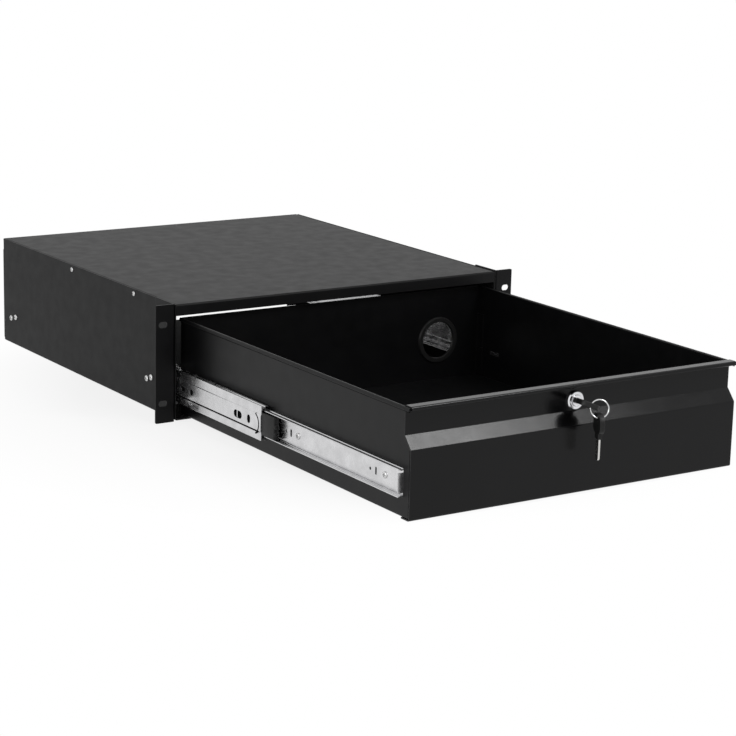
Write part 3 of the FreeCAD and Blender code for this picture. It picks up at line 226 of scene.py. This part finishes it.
def plastic(name, colour, roughness):
    """Moulded black plastic with a fine satin grain and scuffed edges."""
    shader = Shader(name)
    grain = shader.noise(PLASTIC_GRAIN)
    scuffs = shader.noise(PLASTIC_SCUFFS, 5.0, 0.65, (1, 1, 4))
    edges = shader.edge_mask(PLASTIC_WEAR)
    pale = tuple(part * 1.9 + 0.006 for part in colour)
    base = shader.mix(shader.math("MULTIPLY", edges, 0.5), colour, pale)
    shader.set(Base_Color=base, IOR=1.32,
               Roughness=shader.math("ADD", shader.span(scuffs, -0.06, 0.08, 0.3, 0.7), roughness))
    shader.bump([(grain, 0.12, PLASTIC_GRAIN_DEPTH)], PLASTIC_ROUNDING)
    return shader.material


HOUSING_LOW, HOUSING_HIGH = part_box("chassis")
HOUSING_SHELL = Vector((0.6, 1.8, 0.6)) * MM
INSIDE = ((HOUSING_LOW + HOUSING_HIGH) / 2, (HOUSING_HIGH - HOUSING_LOW) / 2 - HOUSING_SHELL)

MATERIALS = {
    "housing_paint": powder_coat("housing_paint", (0.0020, 0.0020, 0.0022), roughness=0.48, ior=1.22,
                                 grain=1600, grain_strength=0.06, wear=0.5, inside=INSIDE),
    "tray_paint": powder_coat("tray_paint", (0.0018, 0.0018, 0.0020), roughness=0.36, ior=1.26,
                              grain=1600, grain_strength=0.06, wear=0.4),
    "front_paint": powder_coat("front_paint", (0.0020, 0.0020, 0.0022), roughness=0.18, ior=1.27,
                               grain=900, grain_strength=0.60, wear=0.6),
    "slide_zinc": plated("slide_zinc", (0.74, 0.74, 0.75), 0.25, (6, 0.25, 6), 900, cloud=0.05),
    "ball_steel": plated("ball_steel", (0.82, 0.82, 0.82), 0.08),
    "screw_zinc": plated("screw_zinc", (0.66, 0.66, 0.66), 0.28),
    "lock_chrome": plated("lock_chrome", (0.80, 0.80, 0.82), 0.12, rounding=0.3),
    "lock_steel": plated("lock_steel", (0.60, 0.60, 0.60), 0.34),
    "key_steel": plated("key_steel", (0.70, 0.69, 0.67), 0.24, (1, 5, 1), 900),
    "ring_steel": plated("ring_steel", (0.76, 0.76, 0.76), 0.16),
    "black_plastic": plastic("black_plastic", (0.006, 0.006, 0.006), 0.42),
}


def painted_gap_shade():
    """Painted shade: a nearly black, dull surface that stands for the shade inside a narrow gap or a
    crease.
    """
    shader = Shader("painted_gap_shade")
    mottle = shader.noise(GAP_SHADE_MOTTLE, 3.0, 0.6)
    shader.set(Base_Color=shader.mix(mottle, (0.0012, 0.0012, 0.0012), (0.005, 0.005, 0.005)),
               Roughness=shader.span(mottle, 0.85, 1.0, 0.3, 0.7), IOR=1.08)
    return shader.material


# Painted shade for gaps, creases and the backs of windows.
PAINTED_GAP_SHADE = painted_gap_shade()


def dress(piece, material):
    piece.data.materials.clear()
    piece.data.materials.append(material)


slots = {entry["node"]: entry["material_slot"] for entry in frame["record"]["subparts"]}
for node_name, piece in nodes.items():
    dress(piece, MATERIALS[slots[node_name]])


# ---------------------------------------------------------------------------
# Fine pieces
# ---------------------------------------------------------------------------

def solids_of(node):
    """Boxes of the separate solids in a CAD node, joined where their vertices share a place."""
    mesh = nodes[node].data
    places = [tuple(round(part, 6) for part in vertex.co) for vertex in mesh.vertices]
    leader = {place: place for place in places}

    def find(place):
        while leader[place] != place:
            place = leader[place]
        return place

    for edge in mesh.edges:
        first, second = (find(places[vertex]) for vertex in edge.vertices)
        leader[first] = second
    members = {}
    for place in leader:
        members.setdefault(find(place), []).append(Vector(place))
    boxes = []
    for group in members.values():
        low = Vector([min(point[axis] for point in group) for axis in range(3)])
        high = Vector([max(point[axis] for point in group) for axis in range(3)])
        boxes.append((low, high))
    return boxes


def add_piece(name, mesh, body, slot, replaced=()):
    """A visual piece that rides a body and may stand for CAD nodes."""
    piece = bpy.data.objects.new(name, mesh)
    bpy.context.scene.collection.objects.link(piece)
    dress(piece, MATERIALS[slot])
    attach(piece, body)
    if replaced:
        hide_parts(*replaced)
    return piece


def as_mesh(shape, name):
    """A named mesh of a bmesh, which is freed."""
    mesh = bpy.data.meshes.new(name)
    shape.to_mesh(mesh)
    shape.free()
    return mesh


def applied(piece):
    """A new mesh of a piece as its modifiers shape it."""
    bpy.context.view_layer.update()
    shaped = piece.evaluated_get(bpy.context.evaluated_depsgraph_get())
    return bpy.data.meshes.new_from_object(shaped)


def merged(name, parts):
    """One mesh from (mesh, matrix) parts."""
    whole = bmesh.new()
    for mesh, matrix in parts:
        placed = mesh.copy()
        placed.transform(matrix)
        whole.from_mesh(placed)
        bpy.data.meshes.remove(placed)
    return as_mesh(whole, name)


def lathe(name, profile, segments):
    """A solid turned about Z from (radius, height) points that start and end on the axis."""
    shape = bmesh.new()
    rings = []
    for radius, height in profile:
        if radius < 1e-9:
            rings.append([shape.verts.new((0, 0, height))])
            continue
        angles = [2 * math.pi * number / segments for number in range(segments)]
        rings.append([shape.verts.new((radius * math.cos(angle), radius * math.sin(angle), height))
                      for angle in angles])
    for lower, upper in zip(rings, rings[1:]):
        for number in range(segments):
            after = (number + 1) % segments
            corners = [lower[number % len(lower)], lower[after % len(lower)],
                       upper[after % len(upper)], upper[number % len(upper)]]
            shape.faces.new(list(dict.fromkeys(corners)))
    bmesh.ops.recalc_face_normals(shape, faces=shape.faces)
    return as_mesh(shape, name)


def prism(name, ends):
    """A solid between two like outlines, each a list of (x, y, z) points in mm."""
    shape = bmesh.new()
    first, last = ([shape.verts.new([part * MM for part in point]) for point in outline]
                   for outline in ends)
    for outline in (first, last):
        shape.faces.new(outline)
    for number in range(len(first)):
        after = (number + 1) % len(first)
        shape.faces.new((first[number], first[after], last[after], last[number]))
    bmesh.ops.recalc_face_normals(shape, faces=shape.faces)
    return as_mesh(shape, name)


def shade_smooth(mesh, degrees):
    """Smooth shading, with edges sharper than an angle kept sharp."""
    for polygon in mesh.polygons:
        polygon.use_smooth = True
    mesh.set_sharp_from_angle(angle=math.radians(degrees))
    return mesh


# A pan head of radius and height 1: (radius, height) points, and the bars of its cross recess.
PAN_HEAD = ((0, 0), (1.0, 0), (1.0, 0.35), (0.94, 0.58), (0.80, 0.78), (0.60, 0.91), (0.30, 0.98), (0, 1.0))
RECESS_LENGTH, RECESS_WIDTH, RECESS_DEPTH = 1.1, 0.22, 0.55
SCREW_SEGMENTS = 32
SCREW_TWIST = 1.02      # radians from one screw's cross to the next
BALL_STEPS = 12         # from pole to pole


def cross_headed_screw():
    """A pan head of radius and height 1 on Z with a cross recess, as a mesh."""
    head = bpy.data.objects.new("screw_template", lathe("screw_template", PAN_HEAD, SCREW_SEGMENTS))
    bpy.context.scene.collection.objects.link(head)
    cutters = []
    bars = ((RECESS_LENGTH, RECESS_WIDTH), (RECESS_WIDTH, RECESS_LENGTH))
    for number, (length, width) in enumerate(bars):
        bpy.ops.mesh.primitive_cube_add(size=1, location=(0, 0, 1.0))
        cutter = bpy.context.active_object
        cutter.scale = (length, width, 2 * RECESS_DEPTH)
        modifier = head.modifiers.new("recess_%d" % number, "BOOLEAN")
        modifier.operation = "DIFFERENCE"
        modifier.object = cutter
        cutters.append(cutter)
    mesh = applied(head)
    for thing in cutters + [head]:
        bpy.data.objects.remove(thing)
    return shade_smooth(mesh, 35)


def bearing_ball():
    """A ball of radius 1, as a mesh."""
    turns = [math.pi * step / BALL_STEPS for step in range(BALL_STEPS + 1)]
    profile = [(math.sin(turn), -math.cos(turn)) for turn in turns]
    return shade_smooth(lathe("bearing_ball", profile, 2 * BALL_STEPS), 80)


SCREW = cross_headed_screw()
BALL = bearing_ball()


def screws(node, body, outward):
    """Round-headed screws in place of a group's plain heads; outward gives each head's direction."""
    parts = []
    for number, (low, high) in enumerate(solids_of(node)):
        direction = outward(low, high)
        axis = max(range(3), key=lambda index: abs(direction[index]))
        size = high - low
        radius = max(size[other] for other in range(3) if other != axis) / 2
        foot = (low + high) / 2 - direction * size[axis] / 2
        turn = direction.to_track_quat("Z", "Y").to_matrix().to_4x4()
        spin = Matrix.Rotation(SCREW_TWIST * number, 4, "Z")
        scale = Matrix.Diagonal((radius, radius, size[axis], 1))
        parts.append((SCREW, Matrix.Translation(foot) @ turn @ spin @ scale))
    add_piece(node + "_detail", merged(node + "_detail", parts), body, "screw_zinc", [node])


def away_from_middle(low, high):
    """Left or right, whichever leads out from the middle of the drawer."""
    return Vector((math.copysign(1, low.x + high.x), 0, 0))


def balls(side, line):
    """Round balls in place of a cage's faceted ones."""
    node = "%s_%s_balls" % (side, line)
    parts = []
    for low, high in solids_of(node):
        radius = (high.z - low.z) / 2
        parts.append((BALL, Matrix.Translation((low + high) / 2) @ Matrix.Scale(radius, 4)))
    add_piece(node + "_round", merged(node + "_round", parts),
              "%s_%s_cage" % (side, line), "ball_steel", [node])


def round_corners(node, width):
    """Round a CAD node's sharp edges with a bevel modifier after joining its split vertices."""
    piece = nodes[node]
    weld = piece.modifiers.new("weld", "WELD")
    weld.merge_threshold = 1e-6
    bevel = piece.modifiers.new("bevel", "BEVEL")
    bevel.width = width
    bevel.segments = 3
    bevel.limit_method = "ANGLE"
    bevel.angle_limit = math.radians(40)
    bevel.harden_normals = True


def plates(name, outline, inner, outer, body, slot, material=None):
    """The same thin plate on both sides: its (y, z) outline in mm, between two distances from x = 0."""
    for side, sign in SIDES:
        ends = [[(sign * x, y, z) for y, z in outline] for x in (inner, outer)]
        mesh = prism("%s_%s" % (side, name), ends)
        piece = add_piece(mesh.name, mesh, body.replace("SIDE", side), slot)
        dress(piece, material or MATERIALS[slot])


def rectangle(front, rear, bottom, top):
    """Outline in (y, z)."""
    return [(front, bottom), (rear, bottom), (rear, top), (front, top)]


def arc_band(centre, radius, width, first, last, steps=16):
    """Outline of a curved band about a centre in (y, z), between two angles in degrees."""
    turns = [math.radians(first + (last - first) * step / steps) for step in range(steps + 1)]
    outer = [(centre[0] + radius * math.cos(turn), centre[1] + radius * math.sin(turn))
             for turn in turns]
    inner = [(centre[0] + (radius - width) * math.cos(turn),
              centre[1] + (radius - width) * math.sin(turn)) for turn in reversed(turns)]
    return outer + inner


# The middle member's band in mm, with y from the frame's origin and x from the middle of the drawer.
SLIDE_Z = -27.2                     # middle height of the slides
BAND_FACE = 213.9                   # x of the band's outer face
BAND_BOTTOM = SLIDE_Z - 8.5
BAND_FRONT, BAND_REAR = -178, 220   # of the crease under the band and its painted-shade strip
WINDOWS = (("front_window_shade", -163, -124), ("rear_window_shade", -46, -4))
WINDOW_BOTTOM, WINDOW_TOP = SLIDE_Z - 6, SLIDE_Z + 5
WINDOW_SHADE_DEPTH = (1.6, 1.3)      # of the two faces of the painted-shade backs behind the band's
BAR = (-133.4, -131.8, SLIDE_Z - 4.3, SLIDE_Z + 3.6)
BAR_DEPTH = (1.25, 0.4)
LINE_DEPTH = 0.9                    # of the inner faces of the painted-shade lines
END_PROUD, CREASE_PROUD = 0.1, 0.05
END_CENTRE, END_RADIUS, END_WIDTH = (-166.3, -28.9), 12.6, 1.6
END_TURNS = (115, 245)              # in degrees


def slide_details():
    """A zinc bar in a window, and painted shade: dark backs in the band's windows, a dark line at its
    pressed end and a dark strip along the crease below.
    """
    middle = "SIDE_middle"
    # Dark backs of painted shade in the band's windows.
    for name, front, rear in WINDOWS:
        plates(name, rectangle(front, rear, WINDOW_BOTTOM, WINDOW_TOP),
               *(BAND_FACE - depth for depth in WINDOW_SHADE_DEPTH), middle, "black_plastic", PAINTED_GAP_SHADE)
    plates("window_bar", rectangle(*BAR),
           *(BAND_FACE - depth for depth in BAR_DEPTH), middle, "slide_zinc")
    # A dark line of painted shade at the band's pressed end.
    plates("band_end_shade", arc_band(END_CENTRE, END_RADIUS, END_WIDTH, *END_TURNS),
           BAND_FACE - LINE_DEPTH, BAND_FACE + END_PROUD, middle, "black_plastic", PAINTED_GAP_SHADE)
    # A dark strip of painted shade along the crease under the band.
    plates("lower_crease_shade", rectangle(BAND_FRONT, BAND_REAR, BAND_BOTTOM - 1.7, BAND_BOTTOM + 0.1),
           BAND_FACE - LINE_DEPTH, BAND_FACE + CREASE_PROUD, middle, "black_plastic", PAINTED_GAP_SHADE)


# The middle member's front bumper in mm: (radius, height) points of a boss, and the bosses' places
# above the block's middle.
BUMPER_ROUNDING = 0.9
BOSS_HEIGHT = 1.4
BOSS_PROFILE = ((0, 0), (2.9, 0), (2.9, 1.0), (2.4, BOSS_HEIGHT), (1.9, BOSS_HEIGHT), (1.5, 1.0),
                (1.5, 0.3), (0, 0.3))
BOSS_RISES = (-6.0, 1.5)


def front_bumper(side):
    """The stop at the middle member's front end: a rounded block with two hollow round bosses."""
    node = side + "_front_bumper"
    low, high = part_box(node)
    low.y += BOSS_HEIGHT * MM
    bpy.ops.mesh.primitive_cube_add(size=1)
    block = bpy.context.active_object
    size = high - low
    block.data.transform(Matrix.Translation((low + high) / 2) @ Matrix.Diagonal((*size, 1)))
    bevel = block.modifiers.new("edges", "BEVEL")
    bevel.width = BUMPER_ROUNDING * MM
    bevel.segments = 3
    rounded = applied(block)
    bpy.data.objects.remove(block)
    boss = lathe(side + "_boss", [(radius * MM, height * MM) for radius, height in BOSS_PROFILE], 24)
    forward = Matrix.Rotation(math.pi / 2, 4, "X")
    parts = [(rounded, Matrix.Identity(4))]
    for rise in BOSS_RISES:
        seat = Vector(((low.x + high.x) / 2, low.y, (low.z + high.z) / 2 + rise * MM))
        parts.append((boss, Matrix.Translation(seat) @ forward))
    mesh = shade_smooth(merged(node + "_block", parts), 40)
    add_piece(mesh.name, mesh, side + "_middle", "black_plastic", [node])


# The tray's hem in mm: the height of its folded edge, the dark strip of painted shadow under it, and the
# (x, z) points of its outer face, from the tray's side and from the hem's foot or the tray's top.
HEM_HEIGHT = 3.5
HEM_SHADOW_HEIGHT, HEM_SHADOW_DEPTH, HEM_SHADOW_INSET = 1.3, (1.8, 0.9), 1
HEM_FACE_FOOT = ((-0.6, 0), (0.7, 0), (0.9, 0.5), (0.3, 2.2))
HEM_FACE_TOP = ((-0.3, -0.2), (-0.8, 0.1))


def hem_detail():
    """The leaning outer face of each side wall's folded hem, and a dark strip of painted shadow under it.
    """
    low, high = (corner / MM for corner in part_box("drawer_tray"))
    foot = high.z - HEM_HEIGHT
    # A dark strip of painted shadow under each hem.
    plates("hem_gap",
           rectangle(low.y + HEM_SHADOW_INSET, high.y - HEM_SHADOW_INSET, foot - HEM_SHADOW_HEIGHT, foot),
           *(high.x - depth for depth in HEM_SHADOW_DEPTH), "drawer", "black_plastic", PAINTED_GAP_SHADE)
    section = [(high.x + x, foot + z) for x, z in HEM_FACE_FOOT]
    section += [(high.x + x, high.z + z) for x, z in HEM_FACE_TOP]
    for side, sign in SIDES:
        ends = [[(sign * x, y, z) for x, z in section] for y in (low.y, high.y)]
        mesh = prism(side + "_hem_face", ends)
        add_piece(mesh.name, shade_smooth(mesh, 40), "drawer", "tray_paint")


RING_NORMAL = Vector((-0.5341, -0.8135, 0.2300))
COIL_RADIUS, WIRE_RADIUS = 9.05 * MM, 0.68 * MM
COIL_OFFSET = 0.62      # of each coil from the ring's middle plane, in mm


def split_ring():
    """Two coils of round wire side by side in place of the plain ring."""
    low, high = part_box("key_ring")
    middle = (low + high) / 2
    turn = RING_NORMAL.to_track_quat("Z", "Y").to_matrix().to_4x4()
    bpy.ops.mesh.primitive_torus_add(major_radius=COIL_RADIUS, minor_radius=WIRE_RADIUS,
                                     major_segments=72, minor_segments=12)
    coil = bpy.context.active_object
    parts = []
    for offset in (-COIL_OFFSET, COIL_OFFSET):
        parts.append((coil.data, Matrix.Translation(middle) @ turn
                      @ Matrix.Translation((0, 0, offset * MM))))
    mesh = merged("key_ring_coils", parts)
    bpy.data.objects.remove(coil)
    add_piece("key_ring_coils", shade_smooth(mesh, 80), "key_ring", "ring_steel", ["key_ring"])


BOW_ROUNDING = 0.9 * MM

screws("cover_screws", "housing", away_from_middle)
screws("slide_fixing_screws", "housing", away_from_middle)
screws("drawer_slide_screws", "drawer", away_from_middle)
screws("cam_screw", "lock", lambda low, high: Vector((0, 1, 0)))
for side_name, _ in SIDES:
    for line_name in ("outer", "inner"):
        balls(side_name, line_name)
    front_bumper(side_name)
for bow in ("key_bow", "spare_key_bow"):
    round_corners(bow, BOW_ROUNDING)
slide_details()
hem_detail()
split_ring()


# ---------------------------------------------------------------------------
# Floor, light and camera
# ---------------------------------------------------------------------------

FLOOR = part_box("left_ear")[0].z
FLOOR_RADIUS = 5
# Share of plain white in the seen floor near the origin. It rises to 1 between the two distances
# from the origin, in metres, so that a faint shadow shows beside the object.
NEAR_WHITE = 0.82
FADE_TO_WHITE = (0.30, 0.50)


def white_floor():
    """A pale floor that camera and glossy rays see mixed with white, fully so further out."""
    bpy.ops.mesh.primitive_circle_add(vertices=96, radius=FLOOR_RADIUS, fill_type="NGON",
                                      location=(0, 0, FLOOR))
    floor = bpy.context.active_object
    floor.name = "floor"
    shader = Shader("floor_white")
    speck = shader.noise(40, 3.0)
    far = shader.add("ShaderNodeVectorMath", operation="LENGTH")
    shader.link(shader.place, far.inputs[0])
    pale = shader.mix(speck, (0.85, 0.85, 0.85), (0.88, 0.88, 0.88))
    shader.set(Base_Color=pale, Roughness=0.9, Specular_IOR_Level=0.0)
    white = shader.add("ShaderNodeEmission")
    white.inputs["Strength"].default_value = 1.0
    rays = shader.add("ShaderNodeLightPath")
    share = shader.span(far.outputs["Value"], NEAR_WHITE, 1.0, *FADE_TO_WHITE)
    seen = shader.add("ShaderNodeMixShader")
    shown = shader.math("MAXIMUM", rays.outputs["Is Camera Ray"], rays.outputs["Is Glossy Ray"])
    shader.link(shader.math("MULTIPLY", shown, share), seen.inputs["Fac"])
    shader.link(shader.surface.outputs["BSDF"], seen.inputs[1])
    shader.link(white.outputs["Emission"], seen.inputs[2])
    shader.link(seen.outputs["Shader"], shader.output.inputs["Surface"])
    dress(floor, shader.material)


def area_light(name, place, size, power, aim):
    """A soft box at a place, facing its aim."""
    lamp = bpy.data.lights.new(name, "AREA")
    lamp.shape = "RECTANGLE"
    lamp.size, lamp.size_y = size
    lamp.energy = power
    holder = bpy.data.objects.new(name, lamp)
    bpy.context.scene.collection.objects.link(holder)
    holder.location = place
    toward = Vector(place) - Vector(aim)
    holder.rotation_euler = toward.to_track_quat("Z", "Y").to_euler()


ROOM = 0.42         # strength of the even light on the object
BACKDROP = 1.0      # white, as camera, gloss and glass see it
# Name, place in metres, size in metres, power in watts and aim of each soft box.
LAMPS = (
    ("front_right_box", (0.60, -1.04, 1.12), (0.40, 0.40), 8, (-0.1, -0.44, 0)),
    ("overhead", (0.35, -2.0, 1.9), (1.2, 0.9), 22, (0, -0.15, 0)),
    ("left_box", (-1.6, -0.75, 0.55), (0.9, 0.6), 9, (-0.35, -0.1, -0.05)),
)


def studio():
    """A white backdrop for what the camera, gloss and glass see, an even room light and soft boxes."""
    world = bpy.data.worlds.new("studio")
    bpy.context.scene.world = world
    world.use_nodes = True
    tree = world.node_tree
    tree.nodes.clear()
    output = tree.nodes.new("ShaderNodeOutputWorld")
    lights = []
    for strength in (ROOM, BACKDROP):
        light = tree.nodes.new("ShaderNodeBackground")
        light.inputs["Color"].default_value = (1, 1, 1, 1)
        light.inputs["Strength"].default_value = strength
        lights.append(light.outputs["Background"])
    rays = tree.nodes.new("ShaderNodeLightPath")
    shown = rays.outputs["Is Camera Ray"]
    for kind in ("Is Glossy Ray", "Is Transmission Ray"):
        either = tree.nodes.new("ShaderNodeMath")
        either.operation = "MAXIMUM"
        tree.links.new(shown, either.inputs[0])
        tree.links.new(rays.outputs[kind], either.inputs[1])
        shown = either.outputs[0]
    mix = tree.nodes.new("ShaderNodeMixShader")
    tree.links.new(shown, mix.inputs["Fac"])
    for socket, light in enumerate(lights, 1):
        tree.links.new(light, mix.inputs[socket])
    tree.links.new(mix.outputs["Shader"], output.inputs["Surface"])
    for lamp in LAMPS:
        area_light(*lamp)


# Camera fitted to the object's edges in the photo: metres, radians and millimetres.
CAMERA_PLACE = (-1.3575, -2.1106, 0.5703)
YAW, PITCH, ROLL = 0.5844, 0.2345, 0.0246
SENSOR_WIDTH, LENS = 36.0, 109.08
CLIP_END = 50


def photograph_camera():
    """The camera that took the photo."""
    data = bpy.data.cameras.new("camera")
    data.sensor_width = SENSOR_WIDTH
    data.lens = LENS
    data.clip_end = CLIP_END
    camera = bpy.data.objects.new("camera", data)
    bpy.context.scene.collection.objects.link(camera)
    forward = Vector((math.sin(YAW) * math.cos(PITCH), math.cos(YAW) * math.cos(PITCH),
                      -math.sin(PITCH)))
    level = Vector((math.cos(YAW), -math.sin(YAW), 0))
    above = level.cross(forward)
    right = math.cos(ROLL) * level + math.sin(ROLL) * above
    up = -math.sin(ROLL) * level + math.cos(ROLL) * above
    turn = Matrix((right, up, -forward)).transposed().to_4x4()
    camera.matrix_world = Matrix.Translation(CAMERA_PLACE) @ turn
    bpy.context.scene.camera = camera


white_floor()
studio()
photograph_camera()

scene = bpy.context.scene
scene.view_settings.view_transform = "Standard"
